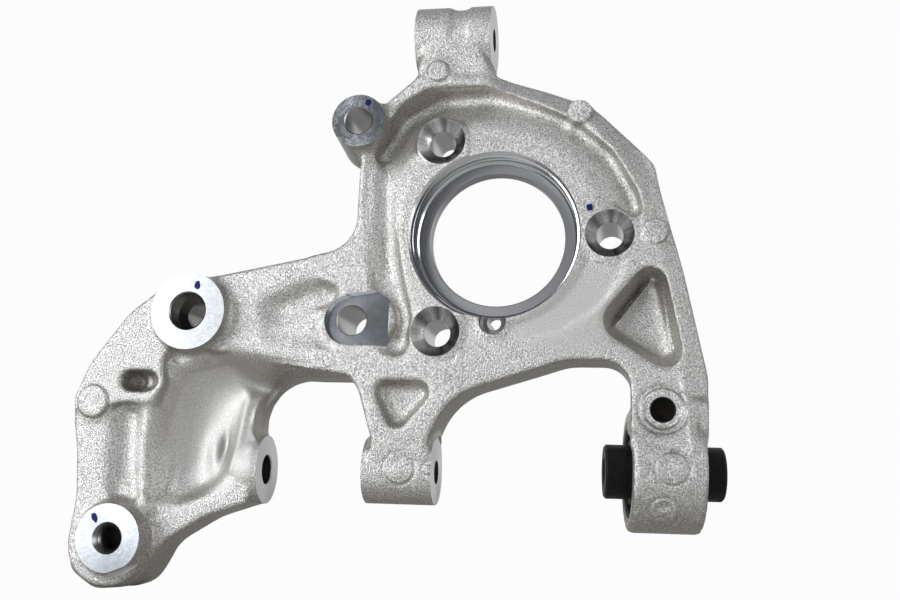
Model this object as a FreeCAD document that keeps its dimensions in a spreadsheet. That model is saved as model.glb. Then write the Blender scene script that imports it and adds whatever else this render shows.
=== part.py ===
import FreeCAD, Part

import math
import os

import Sketcher

# Rear steering knuckle, cast in aluminium and machined, with a rubber bush pressed into its lower eye.
# The origin is the centre of the hub's pilot bore on the outboard mounting face.
# Y is the wheel axis, and the inboard side faces -Y. X runs along the vehicle, Z is up.
# A "level" is a distance inboard of the mounting face, so level 39 lies at y = -39.
# The casting is made in four stages: cast slabs, hollows, bosses, machining.

SIZES = {
    # Hub: the mounting face, the stepped bore, and the crown round it.
    "hub_level": 39.0,
    "pilot_diameter": 90.0,
    "pilot_depth": 18.0,
    "throat_diameter": 72.5,
    "throat_width": 7.0,
    "seat_diameter": 87.0,
    "lead_diameter": 92.0,
    "lead_depth": 4.0,
    "crown_diameter": 110.0,
    "slope_diameter": 168.0,
    "crown_foot_diameter": 146.0,
    "flange_diameter": 148.0,
    # Hub bolts, each in a round bowl.
    "bolt_count": 3,
    "bolt_circle": 120.0,
    "bolt_hole_diameter": 14.2,
    "bowl_diameter": 26.6,
    "bowl_depth": 7.2,
    # Levels and drafts of the cast body.
    "back_level": 3.0,
    "rim_level": 38.0,
    "valley_level": 20.0,
    "arm_back_level": 5.0,
    "arm_level": 33.0,
    "panel_level": 14.0,
    "plate_level": 40.0,
    "beam_draft": 2.0,
    "rim_draft": 9.0,
    "hump_level": 27.0,
    "hollow_level": 20.0,
    "dip_level": 32.0,
    "dip_draft": 35.0,
    # Triangular hollows in the right arm and in the neck.
    "triangle_level": 18.0,
    "triangle_draft": 17.0,
    "neck_depth": 8.0,
    "neck_draft": 25.0,
    # Drain notch below the bore.
    "drain_diameter": 7.4,
    "drain_mouth_diameter": 14.0,
    "drain_mouth_depth": 9.0,
    "drain_height": 45.5,
    # Top ear, with a bore along X between two collars.
    "ear_x": -26.2,
    "ear_z": 116.4,
    "ear_length": 42.0,
    "ear_diameter": 37.6,
    "ear_waist_diameter": 34.4,
    "ear_left_collar": 15.6,
    "ear_right_collar": 9.6,
    "link_level": 19.0,
    "link_bore_diameter": 12.4,
    # Middle boss below the hub, with a bore along X.
    "middle_x": -48.7,
    "middle_z": -124.0,
    "middle_length": 36.8,
    "middle_diameter": 34.4,
    # Shoulder boss beside the ear, with a bore along Y.
    "shoulder_boss_x": -75.0,
    "shoulder_boss_z": 62.6,
    "shoulder_boss_diameter": 29.4,
    "shoulder_boss_level": 44.0,
    "shoulder_boss_bore": 14.8,
    # Caliper arm: the upper boss, the lower boss and the link pad.
    "upper_boss_x": -164.2,
    "upper_boss_z": -42.5,
    "upper_boss_diameter": 41.6,
    "upper_boss_level": 46.0,
    "upper_boss_bore": 19.6,
    "upper_boss_bore_depth": 18.0,
    "upper_boss_pilot": 14.0,
    "lower_boss_x": -199.4,
    "lower_boss_z": -163.3,
    "lower_boss_diameter": 35.6,
    "lower_boss_level": 46.0,
    "lower_boss_thread": 13.2,
    "lower_root_diameter": 46.0,
    "pad_x": -124.5,
    "pad_z": -125.0,
    "pad_level": 16.0,
    "pad_diameter": 36.4,
    "pad_rise": 2.5,
    "pad_bore": 15.6,
    "pad_bore_depth": 18.0,
    # Spot-faced hole in the beam.
    "spotface_x": -76.0,
    "spotface_z": -45.6,
    "spotface_width": 28.0,
    "spotface_level": 34.0,
    "spotface_hole": 15.8,
    "spotface_boss_level": -6.0,
    # Blind slot in the arm's plate: deep at one end, with a ramp up to the other.
    "slot_left": -202.0,
    "slot_right": -181.0,
    "slot_z": -79.7,
    "slot_width": 10.8,
    "slot_depth": 14.0,
    # Sensor screw hole above the eye.
    "screw_x": 86.7,
    "screw_z": -90.8,
    "screw_hole": 11.6,
    "screw_hole_depth": 11.0,
    "screw_pad_diameter": 22.0,
    "screw_pad_rise": 1.5,
    "ramp_start": -84.0,
    "ramp_end": -110.0,
    # Bush eye, turned a little about Z, and the bush in it.
    "eye_x": 87.0,
    "eye_z": -121.3,
    "eye_level": 19.0,
    "eye_turn": 7.0,
    "eye_diameter": 60.6,
    "eye_length": 36.4,
    "eye_bore": 50.0,
    "outer_sleeve_wall": 1.6,
    "outer_sleeve_length": 36.0,
    "inner_sleeve_diameter": 27.4,
    "inner_sleeve_length": 60.0,
    "inner_sleeve_bore": 12.6,
    "rubber_length": 34.0,
    "void_inner_radius": 16.2,
    "void_outer_radius": 20.8,
    "void_half_angle": 50.0,
    # Round marks of the ejector pins.
    "rim_pin_diameter": 12.6,
    "mark_rise": 0.6,
}

doc = FreeCAD.newDocument("steering_knuckle")
sheet = doc.addObject("Spreadsheet::Sheet", "Sizes")
for row, (alias, value) in enumerate(SIZES.items(), start=1):
    sheet.set("A%d" % row, alias)
    sheet.set("B%d" % row, str(value))
    sheet.setAlias("B%d" % row, alias)
doc.recompute()

# Prefix of a cell of the sheet in an expression.
S = "<<Sizes>>."


def size(name):
    "A driving dimension, read from the sheet."
    return float(getattr(sheet, name))


def body_named(name):
    "A body that may hold several separate solids while it is built."
    body = doc.addObject("PartDesign::Body", name)
    body.Label = name
    body.AllowCompound = True
    return body


def plane_of(body, role):
    "One of the body's own origin planes or axes."
    for feature in body.Origin.OriginFeatures:
        if feature.Role == role:
            return feature
    raise RuntimeError("no origin feature " + role)


def rounded(corners):
    "Lines and tangent arcs through corners given as (x, z, radius). Two arcs share their edge by radius."
    ends = []
    count = len(corners)
    for i, (x, z, radius) in enumerate(corners):
        corner = FreeCAD.Vector(x, z, 0)
        if radius == 0:
            ends.append((corner, None, corner))
            continue
        previous = corners[i - 1]
        following = corners[(i + 1) % count]
        before = FreeCAD.Vector(previous[0], previous[1], 0) - corner
        after = FreeCAD.Vector(following[0], following[1], 0) - corner
        half_turn = before.getAngle(after) / 2
        room_before = 0.96 * before.Length * radius / (radius + previous[2])
        room_after = 0.96 * after.Length * radius / (radius + following[2])
        reach = min(radius / math.tan(half_turn), room_before, room_after)
        radius = reach * math.tan(half_turn)
        before.normalize()
        after.normalize()
        middle = (before + after).normalize() * (radius / math.sin(half_turn) - radius)
        ends.append((corner + before * reach, corner + middle, corner + after * reach))
    pieces = []
    for i, (start, middle, end) in enumerate(ends):
        if middle is not None:
            pieces.append(Part.Arc(start, middle, end))
        pieces.append(Part.LineSegment(end, ends[(i + 1) % count][0]))
    return pieces


def sketch_on(body, name, role, level=None):
    "A sketch on an origin plane, or on a plane beside it at a level given as an expression."
    sketch = body.newObject("Sketcher::SketchObject", name)
    sketch.AttachmentSupport = (plane_of(body, role), [""])
    sketch.MapMode = "FlatFace"
    if level is not None:
        sketch.setExpression("AttachmentOffset.Base.z", level)
    return sketch


def meeting_ends(sketch, first, second):
    "Which ends of two neighbouring edges of a sketch meet."
    for a in (2, 1):
        for b in (1, 2):
            if sketch.getPoint(first, a).distanceToPoint(sketch.getPoint(second, b)) < 1e-6:
                return a, b
    raise RuntimeError("the outline %s is open" % sketch.Name)


def outline(body, name, corners, level=None, role="XZ_Plane"):
    "A closed outline of lines and arcs, each joined to the next."
    sketch = sketch_on(body, name, role, level)
    pieces = rounded(corners)
    sketch.addGeometry(pieces, False)
    for i in range(len(pieces)):
        following = (i + 1) % len(pieces)
        a, b = meeting_ends(sketch, i, following)
        sketch.addConstraint(Sketcher.Constraint("Coincident", i, a, following, b))
    return sketch


def circles(body, name, rings, role="XZ_Plane", level=None):
    "Circles given as (x, z, diameter) in expressions, so that they follow the sheet."
    sketch = sketch_on(body, name, role, level)
    for i, (x, z, diameter) in enumerate(rings):
        sketch.addGeometry(Part.Circle(FreeCAD.Vector(0, 0, 0), FreeCAD.Vector(0, 0, 1), 10), False)
        bound = [
            (Sketcher.Constraint("Diameter", i, 20.0), diameter),
            (Sketcher.Constraint("DistanceX", -1, 1, i, 3, 1.0), x),
            (Sketcher.Constraint("DistanceY", -1, 1, i, 3, 1.0), z),
        ]
        for constraint, value in bound:
            number = sketch.addConstraint(constraint)
            sketch.setExpression("Constraints[%d]" % number, value)
    return sketch


def pad(body, name, sketch, length, draft=None, outboard=False):
    "Adds material from a sketch towards the inboard side, or towards the outboard side."
    feature = body.newObject("PartDesign::Pad", name)
    feature.Profile = sketch
    feature.Reversed = outboard
    feature.setExpression("Length", length)
    if draft is not None:
        feature.setExpression("TaperAngle", draft)
    doc.recompute()
    return feature


def slab(body, name, corners, bottom, top, draft=None):
    "Material with a rounded outline between two levels. The outline is drawn at the lower one."
    sketch = outline(body, name + "_outline", corners, bottom)
    return pad(body, name, sketch, "%s - (%s)" % (top, bottom), draft)


def hollow(body, name, corners, bottom, top, draft=None):
    "Cuts a hollow with a rounded floor at one level, open up to the other, and checks that it did."
    before = body.Shape.Volume
    feature = body.newObject("PartDesign::Pocket", name)
    feature.Profile = outline(body, name + "_outline", corners, bottom)
    feature.Reversed = True
    feature.setExpression("Length", "%s - (%s)" % (top, bottom))
    if draft is not None:
        feature.setExpression("TaperAngle", draft)
    doc.recompute()
    if not feature.Shape.Volume < before - 1:
        raise RuntimeError(name + " cut nothing")
    return feature


def lofted(body, name, low_corners, high_corners, bottom, top, kind="AdditiveLoft"):
    "Material or a hollow with straight slopes between two outlines that have as many corners."
    low = outline(body, name + "_low", low_corners, bottom)
    high = outline(body, name + "_high", high_corners, top)
    feature = body.newObject("PartDesign::" + kind, name)
    feature.Profile = (low, [""])
    feature.Sections = [(high, [""])]
    feature.Ruled = True
    doc.recompute()
    return feature


def drum(body, name, x, z, diameter, top, bottom, draft=None):
    "A round boss whose top face has the given diameter, widening with the draft towards its foot."
    sketch = circles(body, name + "_face", [(x, z, diameter)], level=top)
    return pad(body, name, sketch, "%s - (%s)" % (top, bottom), draft, True)


def barrel(body, name, x, z, level, diameter, length, turn=0.0):
    "A cylinder along X with its middle at x, turned about the vertical by an angle in degrees."
    across = "0" if turn else "-(%s)" % level
    sketch = circles(body, name + "_face", [(across, z, diameter)], "YZ_Plane", x)
    if turn:
        sketch.setExpression("AttachmentOffset.Base.x", "-(%s)" % level)
        turned = FreeCAD.Rotation(FreeCAD.Vector(0, 1, 0), turn)
        sketch.AttachmentOffset = FreeCAD.Placement(sketch.AttachmentOffset.Base, turned)
    feature = pad(body, name, sketch, length)
    feature.SideType = "Symmetric"
    doc.recompute()
    return feature


def turned_on(body, name, sketch, axis):
    "A solid turned from a sketch about one of its axes or edges."
    feature = body.newObject("PartDesign::Revolution", name)
    feature.Profile = sketch
    feature.ReferenceAxis = (sketch, [axis])
    feature.Angle = 360
    doc.recompute()
    return feature


def combined(body, name, other, kind):
    "Joins another body to this one, or cuts it away, and checks that the volume changed."
    before = body.Shape.Volume
    feature = body.newObject("PartDesign::Boolean", name)
    feature.setObjects([other])
    feature.Type = kind
    doc.recompute()
    grown = body.Shape.Volume - before
    if (grown < 1) if kind == "Fuse" else (grown > -1):
        raise RuntimeError(name + " changed nothing")
    return feature


# Ends of the barrels, which the cast outlines have to reach.
eye_left = size("eye_x") - size("eye_length") / 2
middle_left = size("middle_x") - size("middle_length") / 2
middle_right = size("middle_x") + size("middle_length") / 2
ear_left = size("ear_x") - size("ear_length") / 2
ear_right = size("ear_x") + size("ear_length") / 2
neck_end = size("middle_z") + 6
pad_top = size("pad_z") + size("pad_diameter") / 2
pad_foot = size("pad_z") - size("pad_diameter") / 2

# Stage 1: slabs. The hub shell runs into the right arm and into the neck of the middle boss.
knuckle = body_named("knuckle_casting")
hub_corners = [
    (ear_left + 1.4, 88.5, 3),
    (ear_right + 4.5, 87.3, 6),
    (47.5, 70.7, 6),
    (82.2, 38, 10),
    (97.6, -20, 60),
    (109.4, -73.5, 30),
    (109, size("eye_z") + 2, 0),
    (eye_left - 1, size("eye_z") + 2, 0),
    (eye_left - 1, -104, 4),
    (70.8, -93, 8),
    (70.6, -66.2, 24),
    (38, -66.2, 30),
    (-22.5, -85.6, 36),
    (middle_right - 1.7, -108.5, 0),
    (middle_right - 1.7, neck_end, 0),
    (middle_left + 4.6, neck_end, 0),
    (middle_left + 4.6, -108, 4),
    (-72.4, -75.9, 12),
    (-100, -75.9, 0),
    (-100, -10.5, 0),
    (-75.5, -5.0, 19),
    (-74.6, 50, 4),
    (-61, 75.5, 6),
]
slab(knuckle, "hub_shell", hub_corners, S + "back_level", S + "rim_level")

# The web of the caliper arm.
arm_corners = [
    (-84, -9, 0),
    (-150, -21.4, 6),
    (-180, -25.5, 10),
    (-200.5, -41.3, 30),
    (-221.5, -69.5, 40),
    (-230.8, -93, 14),
    (-226.4, -118, 40),
    (-224.4, -142, 60),
    (-227, -166, 30),
    (-226, -181, 14),
    (-211, -190.5, 12),
    (-188, -188.2, 16),
    (-175, -165.5, 25),
    (-151.5, -151, 40),
    (size("pad_x") - 4, pad_foot, 3),
    (size("pad_x") - 3.4, pad_top, 2),
    (-127.9, -76, 25),
    (-84, -75.6, 0),
]
slab(knuckle, "arm_web", arm_corners, S + "arm_back_level", S + "arm_level")

# The beam between the arm and the hub, drafted towards its crest.
beam_corners = [
    (-62, -3, 0),
    (-94, -8.8, 12),
    (-158, -21.4, 6),
    (-176, -36, 10),
    (-160, -60, 8),
    (-132, -76, 10),
    (-62, -76, 0),
]
slab(knuckle, "beam", beam_corners, S + "arm_back_level", S + "rim_level", "-" + S + "beam_draft")

# The outer bar of the arm, with a shallow trench along it.
bar_corners = [
    (-227.5, -88, 0),
    (-176, -88, 0),
    (-184, -112, 30),
    (-182, -150, 0),
    (-190, -160, 0),
    (-226, -160, 0),
    (-224.2, -142, 60),
    (-226.2, -118, 40),
    (-229.6, -100, 10),
]
slab(knuckle, "arm_bar", bar_corners, S + "arm_level - 2", S + "plate_level - 2.5")
trench_corners = [
    (-204, -86, 3),
    (-194, -86, 3),
    (-193, -112, 30),
    (-190, -152, 3),
    (-202, -152, 3),
]
hollow(knuckle, "arm_trench", trench_corners, S + "arm_level", S + "hub_level", "40")

# The smooth sunk panel of the arm, sloping down from the bar and the beam towards the arch beside it.
panel_floor = [
    (-152, -82, 8),
    (-160, -88, 10),
    (-165, -104, 20),
    (-168, -122, 20),
    (-166, -133, 6),
    (-157, -132, 6),
    (-147, -121, 6),
    (-138, -108, 6),
    (-120, -106, 0),
    (-92, -95, 0),
    (-84, -80, 3),
]
panel_rim = [
    (-150, -63, 14),
    (-175, -68, 10),
    (-180, -88, 30),
    (-186, -116, 40),
    (-182, -148, 10),
    (-166, -141, 8),
    (-146, -130, 8),
    (-136, -112, 6),
    (-118, -102, 0),
    (-76, -90, 0),
    (-72, -76.3, 3),
]
lofted(knuckle, "arm_panel", panel_floor, panel_rim, S + "panel_level", S + "arm_level + 2",
       "SubtractiveLoft")
hollow(knuckle, "arm_panel_mouth", panel_rim, S + "arm_level + 2", S + "hub_level")

# The valley inside the rim. The dished crown is turned back into it, round the bore.
valley_corners = [
    (-66, -14, 4),
    (-66.5, 42, 8),
    (-52, 71, 10),
    (-34, 81.5, 16),
    (-6, 81, 30),
    (39, 60.5, 8),
    (59, 43.5, 18),
    (73, 20, 30),
    (76, 0, 8),
    (66, -12, 8),
    (0, -14, 0),
]
hollow(knuckle, "valley", valley_corners, S + "valley_level", S + "hub_level", S + "rim_draft")

# The crown slopes down to the valley's floor. What of its foot would leave the valley is cut off.
crown_radius = size("crown_diameter") / 2
throat_radius = size("throat_diameter") / 2
slope = body_named("crown_slope")
slope_profile = sketch_on(slope, "slope_profile", "XY_Plane")
slope_points = [
    (crown_radius - 6, -size("valley_level"), 0),
    (crown_radius - 6, -size("hub_level"), 0),
    (crown_radius, -size("hub_level"), 0),
    (crown_radius + 9, -size("hub_level") + 3.5, 12),
    (size("slope_diameter") / 2, -size("valley_level"), 0),
]
slope_profile.addGeometry(rounded(slope_points), False)
turned_on(slope, "slope", slope_profile, "V_Axis")
room = body_named("valley_room")
slab(room, "valley_block", valley_corners, S + "valley_level", S + "hub_level", S + "rim_draft")
combined(slope, "slope_in_valley", room, "Common")
combined(knuckle, "sloped", slope, "Fuse")
crown_profile = sketch_on(knuckle, "crown_profile", "XY_Plane")
crown_foot = size("crown_foot_diameter") / 2
crown_points = [
    (throat_radius - 4, -size("back_level"), 0),
    (throat_radius - 4, -size("hub_level"), 0),
    (crown_radius, -size("hub_level"), 0),
    (crown_radius + 9, -size("hub_level") + 3.5, 12),
    (crown_foot, -size("hub_level") + 11, 0),
    (crown_foot, -size("back_level"), 0),
]
crown_profile.addGeometry(rounded(crown_points), False)
turned_on(knuckle, "hub_crown", crown_profile, "V_Axis")

# The left flank: a rib beside the rim, a groove between the two, and a dip winding down the crown.
rib_corners = [
    (-67.5, 42, 1),
    (-63, 42, 1),
    (-61.5, 8, 2),
    (-61.5, -14, 1),
    (-70, -14, 1),
    (-70, 10, 3),
]
slab(knuckle, "flank_rib", rib_corners, S + "valley_level", S + "rim_level - 0.5", "-3")
groove_corners = [
    (-70.2, 46, 1),
    (-70.6, 16, 1),
    (-69, 13, 1),
    (-67.2, 46, 1),
]
hollow(knuckle, "flank_groove", groove_corners, S + "rim_level - 9", S + "hub_level", "6")
dip_corners = [
    (-61.5, 34, 1),
    (-60, 4, 10),
    (-62.5, -24, 6),
    (-59.5, -40, 20),
    (-58, -60, 4),
    (-48, -62, 4),
    (-46, -45, 20),
    (-52, -24, 30),
    (-57.5, 2, 20),
    (-59, 34, 1),
]
hollow(knuckle, "crown_dip", dip_corners, S + "dip_level", S + "hub_level + 1", S + "dip_draft")

# The arm's raised plate and its lower rim.
plate_corners = [
    (-150, -30, 0),
    (-180, -26, 10),
    (-200.5, -41.6, 30),
    (-221.5, -69.8, 40),
    (-230, -91, 8),
    (-227, -97, 6),
    (-212, -93, 4),
    (-183, -91.5, 9),
    (-176.5, -82, 7),
    (-178.5, -68, 8),
    (-170, -56, 6),
    (-150, -56, 0),
]
slab(knuckle, "arm_plate", plate_corners, S + "arm_level - 3", S + "plate_level", "-2")
lower_rim_corners = [
    (-190, -150, 0),
    (-166, -140, 10),
    (-145, -126, 10),
    (-131, -126, 0),
    (-131, -141, 4),
    (-151.5, -149, 40),
    (-177, -163.5, 0),
    (-190, -167, 0),
]
slab(knuckle, "arm_lower_rim", lower_rim_corners, S + "arm_back_level", S + "arm_level - 1", "-5")

# The hump that carries the link pad, with a ridge along it.
hump_foot = [
    (-146, -150, 6),
    (-154, -128, 10),
    (-150, -104, 14),
    (-140, -84, 10),
    (-128.3, -80, 1),
    (-128.3, -140, 1),
]
hump_top = [
    (-140, -141, 2),
    (-141, -128, 6),
    (-138.5, -108, 8),
    (-135, -94, 4),
    (-130, -92, 1),
    (-130, -138, 1),
]
lofted(knuckle, "pad_hump", hump_foot, hump_top, S + "panel_level - 2", S + "hump_level")

# The web under the top ear.
ear_web_corners = [
    (ear_left + 1.4, 82, 0),
    (ear_left + 2.5, 97, 10),
    (ear_left + 9, 108, 4),
    (ear_left + 11, 118, 0),
    (ear_right - 9, 118, 0),
    (ear_right - 7.5, 108, 4),
    (ear_right + 2, 90, 6),
    (ear_right + 6, 82, 0),
]
slab(knuckle, "ear_web", ear_web_corners, S + "back_level", S + "rim_level - 1.5")

# Stage 2: bosses, built apart and joined in one step. First those along Y.
bosses = body_named("cast_bosses")
drum(bosses, "shoulder_boss", S + "shoulder_boss_x", S + "shoulder_boss_z", S + "shoulder_boss_diameter",
     S + "shoulder_boss_level", S + "arm_back_level", "4.5")
drum(bosses, "upper_boss", S + "upper_boss_x", S + "upper_boss_z", S + "upper_boss_diameter",
     S + "upper_boss_level", S + "back_level", "3")
drum(bosses, "lower_boss_root", S + "lower_boss_x - 4", S + "lower_boss_z - 2.5",
     S + "lower_root_diameter", S + "plate_level - 2", S + "back_level", "3")
drum(bosses, "lower_boss", S + "lower_boss_x", S + "lower_boss_z", S + "lower_boss_diameter",
     S + "lower_boss_level", S + "arm_level", "12")
drum(bosses, "screw_pad", S + "screw_x", S + "screw_z", S + "screw_pad_diameter",
     S + "rim_level + " + S + "screw_pad_rise", S + "back_level")
drum(bosses, "spotface_boss", S + "spotface_x", S + "spotface_z", S + "spotface_width",
     S + "valley_level", S + "spotface_boss_level")
drum(bosses, "mounting_flange", "0", "0", S + "flange_diameter", S + "arm_back_level + 5", "0")

# A ramp up to the eye from the arm's front.
ramp_foot = outline(bosses, "eye_ramp_outline", [
    (-size("arm_level"), size("ramp_start"), 0),
    (-size("rim_level"), size("ramp_start"), 0),
    (-size("eye_level") - size("eye_diameter") / 2 + 2.3, size("ramp_end"), 0),
    (-size("arm_level"), size("ramp_end"), 0),
], S + "eye_x", "YZ_Plane")
ramp_up = pad(bosses, "eye_ramp", ramp_foot, S + "eye_length - 4")
ramp_up.SideType = "Symmetric"
doc.recompute()

# Pads left by the ejector pins: two pillars in the rim's inner wall, and flat rounds elsewhere.
pin_tops = [
    ("rim_pin_upper", "44", "66.3", S + "rim_pin_diameter", S + "rim_level + " + S + "mark_rise"),
    ("rim_pin_right", "83.1", "0.7", S + "rim_pin_diameter", S + "rim_level + " + S + "mark_rise"),
    ("ear_mark", "-33.2", "91.7", "11.6", S + "rim_level + " + S + "mark_rise"),
    ("plate_mark", "-217.1", "-91.3", "18", S + "plate_level + " + S + "mark_rise"),
]
for mark, x, z, width, top in pin_tops:
    drum(bosses, mark, x, z, width, top, S + "valley_level")

# Barrels along X: the ear with its two collars, the middle boss, the eye and the link pad.
barrel(bosses, "ear", S + "ear_x", S + "ear_z", S + "link_level",
       S + "ear_waist_diameter", S + "ear_length")
for collar, side in (("ear_left_collar", "-"), ("ear_right_collar", "+")):
    collar_x = S + "ear_x " + side + " (" + S + "ear_length - " + S + collar + ") / 2"
    barrel(bosses, collar, collar_x, S + "ear_z", S + "link_level", S + "ear_diameter", S + collar)
barrel(bosses, "middle_boss", S + "middle_x", S + "middle_z", S + "link_level", S + "middle_diameter",
       S + "middle_length")
barrel(bosses, "eye", S + "eye_x", S + "eye_z", S + "eye_level", S + "eye_diameter", S + "eye_length",
       size("eye_turn"))
barrel(bosses, "pad_root", S + "pad_x - " + S + "pad_rise - 8", S + "pad_z", S + "pad_level",
       S + "pad_diameter + 1", "16")
barrel(bosses, "pad_face", S + "pad_x - " + S + "pad_rise / 2 - 1", S + "pad_z", S + "pad_level",
       S + "pad_diameter", S + "pad_rise + 2")
combined(knuckle, "with_bosses", bosses, "Fuse")

# Stage 3: cast hollows, gathered in a body of their own with the machining of stage 4.
cuts = body_named("cut_away")
trough_corners = [
    (-124, -40, 5),
    (-96, -27.5, 6),
    (-85, -31, 4),
    (-90, -36, 6),
    (-116, -45, 5),
]
slab(cuts, "beam_trough", trough_corners, S + "rim_level - 6", S + "rim_level + 2", "40")
field_corners = [
    (-122, -44, 5),
    (-84, -33, 3),
    (-80, -45, 3),
    (-84, -61, 3),
    (-122, -55.5, 5),
]
slab(cuts, "beam_field", field_corners, S + "rim_level - 2.5", S + "rim_level + 2", "30")
triangle_corners = [
    (82.2, -20, 3),
    (60.3, -46.3, 5),
    (92.3, -66.5, 3),
]
slab(cuts, "arm_triangle", triangle_corners, S + "triangle_level", S + "rim_level + 1",
     S + "triangle_draft")
neck_corners = [
    (-60, -80.5, 3),
    (-32, -80.5, 3),
    (-49.8, -101.5, 3),
]
slab(cuts, "neck_triangle", neck_corners, S + "rim_level - " + S + "neck_depth", S + "rim_level + 1",
     S + "neck_draft")

# The smooth band sunk a little round the lower right of the bore. Both ends lie in a bolt's bowl.
band_corners = [
    (44, -0.5, 0),
    (72, -0.5, 3),
    (67, -21, 20),
    (55.4, -40, 30),
    (33, -52.3, 40),
    (10, -59, 40),
    (-20, -63.5, 6),
    (-26, -45, 6),
    (-20, -30, 0),
    (20, -20, 0),
]
slab(cuts, "smooth_band", band_corners, S + "rim_level - 1.2", S + "hub_level + 1", "20")

# Hollows of the outboard side, behind the beam, the arm and the triangle.
beam_back_corners = [
    (-147, -31, 8),
    (-97, -21, 8),
    (-97, -66, 8),
    (-128, -66, 12),
]
slab(cuts, "beam_back_hollow", beam_back_corners, "-1", S + "hollow_level - 1", "-6")
arm_back_corners = [
    (-208, -62, 12),
    (-192, -62, 8),
    (-195, -136, 8),
    (-212, -136, 8),
    (-216, -96, 20),
]
slab(cuts, "arm_back_hollow", arm_back_corners, "-1", S + "hollow_level", "-6")
eye_back_corners = [
    (84, -24, 6),
    (76, -56, 6),
    (96, -76, 6),
    (98, -60, 10),
]
slab(cuts, "arm_right_hollow", eye_back_corners, "-1", S + "triangle_level - 7", "-6")

# Stage 4: machining. The bore is turned: pilot, throat, seat with a relief, and a lead at its mouth.
bore_profile = sketch_on(cuts, "bore_profile", "XY_Plane")
pilot_radius = size("pilot_diameter") / 2
seat_radius = size("seat_diameter") / 2
lead_radius = size("lead_diameter") / 2
seat_level = size("pilot_depth") + size("throat_width")
lead_level = size("hub_level") - size("lead_depth")
relief = 1.5
bore_points = [
    (0, 1, 0),
    (pilot_radius, 1, 0),
    (pilot_radius, -size("pilot_depth"), 0),
    (throat_radius, -size("pilot_depth"), 0),
    (throat_radius, -seat_level, 0),
    (seat_radius - relief, -seat_level, 0),
    (seat_radius - relief, -seat_level - relief, 0),
    (seat_radius, -seat_level - relief, 0),
    (seat_radius, -lead_level, 0),
    (lead_radius - 1, -lead_level, 0),
    (lead_radius - 1, -size("hub_level") + 1, 0),
    (lead_radius, -size("hub_level"), 0),
    (lead_radius, -size("hub_level") - 2, 0),
    (0, -size("hub_level") - 2, 0),
]
bore_profile.addGeometry(rounded(bore_points), False)
turned_on(cuts, "hub_bore", bore_profile, "V_Axis")

# A bolt hole opens into a round bowl, and is repeated round the bolt circle.
bolt_profile = sketch_on(cuts, "bolt_profile", "XY_Plane")
bolt_x = size("bolt_circle") / 2
hole_edge = bolt_x + size("bolt_hole_diameter") / 2
bowl_edge = bolt_x + size("bowl_diameter") / 2
bowl_floor = size("hub_level") - size("bowl_depth")
bowl_sag = 1.2
wall_x = (hole_edge + bowl_edge) / 2 + bowl_sag
wall_level = (bowl_floor + size("hub_level")) / 2 - bowl_sag
bolt_corners = [
    FreeCAD.Vector(bolt_x, 1, 0),
    FreeCAD.Vector(hole_edge, 1, 0),
    FreeCAD.Vector(hole_edge, -bowl_floor, 0),
    FreeCAD.Vector(bowl_edge, -size("hub_level"), 0),
    FreeCAD.Vector(bowl_edge, -size("hub_level") - 3, 0),
    FreeCAD.Vector(bolt_x, -size("hub_level") - 3, 0),
]
bolt_ends = bolt_corners[1:] + bolt_corners[:1]
bolt_edges = [Part.LineSegment(start, end) for start, end in zip(bolt_corners, bolt_ends)]
bolt_edges[2] = Part.Arc(bolt_corners[2], FreeCAD.Vector(wall_x, -wall_level, 0), bolt_corners[3])
bolt_profile.addGeometry(bolt_edges, False)
bolt_hole = turned_on(cuts, "bolt_hole", bolt_profile, "Edge6")
bolt_ring = cuts.newObject("PartDesign::PolarPattern", "bolt_holes")
bolt_ring.Originals = [bolt_hole]
bolt_ring.Axis = (plane_of(cuts, "Y_Axis"), [""])
bolt_ring.Angle = 360
bolt_ring.setExpression("Occurrences", S + "bolt_count")
cuts.Tip = bolt_ring
doc.recompute()

# The spot face: round on its left, and run out into the crown on its right.
half_face = size("spotface_width") / 2
face_left = size("spotface_x") - half_face
face_right = size("spotface_x") + half_face + 7
face_low = size("spotface_z") - half_face
face_high = size("spotface_z") + half_face
face_corners = [
    (face_left, face_low, half_face),
    (face_right, face_low, 0),
    (face_right, face_high + 3, 0),
    (face_left, face_high - 2, half_face),
]
slab(cuts, "spotface", face_corners, S + "spotface_level", S + "hub_level + 1")

# Round holes along Y, each between two levels.
holes = [
    ("drain_mouth", "0", "-" + S + "drain_height - 1", S + "drain_mouth_diameter",
     S + "hub_level + 1", S + "hub_level - " + S + "drain_mouth_depth"),
    ("drain_hole", "0", "-" + S + "drain_height", S + "drain_diameter", S + "hub_level", "-1"),
    ("spotface_bore", S + "spotface_x", S + "spotface_z", S + "spotface_hole",
     S + "rim_level", S + "spotface_boss_level - 1"),
    ("shoulder_bore", S + "shoulder_boss_x", S + "shoulder_boss_z", S + "shoulder_boss_bore",
     S + "shoulder_boss_level + 1", "-1"),
    ("upper_bore", S + "upper_boss_x", S + "upper_boss_z", S + "upper_boss_bore",
     S + "upper_boss_level + 1", S + "upper_boss_level - " + S + "upper_boss_bore_depth"),
    ("upper_pilot", S + "upper_boss_x", S + "upper_boss_z", S + "upper_boss_pilot",
     S + "upper_boss_level", "0"),
    ("lower_thread", S + "lower_boss_x", S + "lower_boss_z", S + "lower_boss_thread",
     S + "lower_boss_level + 1", "0"),
    ("screw_face", S + "screw_x", S + "screw_z", S + "screw_pad_diameter",
     S + "rim_level + 10", S + "rim_level + " + S + "screw_pad_rise"),
    ("screw_bore", S + "screw_x", S + "screw_z", S + "screw_hole",
     S + "rim_level + 4", S + "rim_level + " + S + "screw_pad_rise - " + S + "screw_hole_depth"),
]
for hole, x, z, width, top, bottom in holes:
    drum(cuts, hole, x, z, width, top, bottom)

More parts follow.
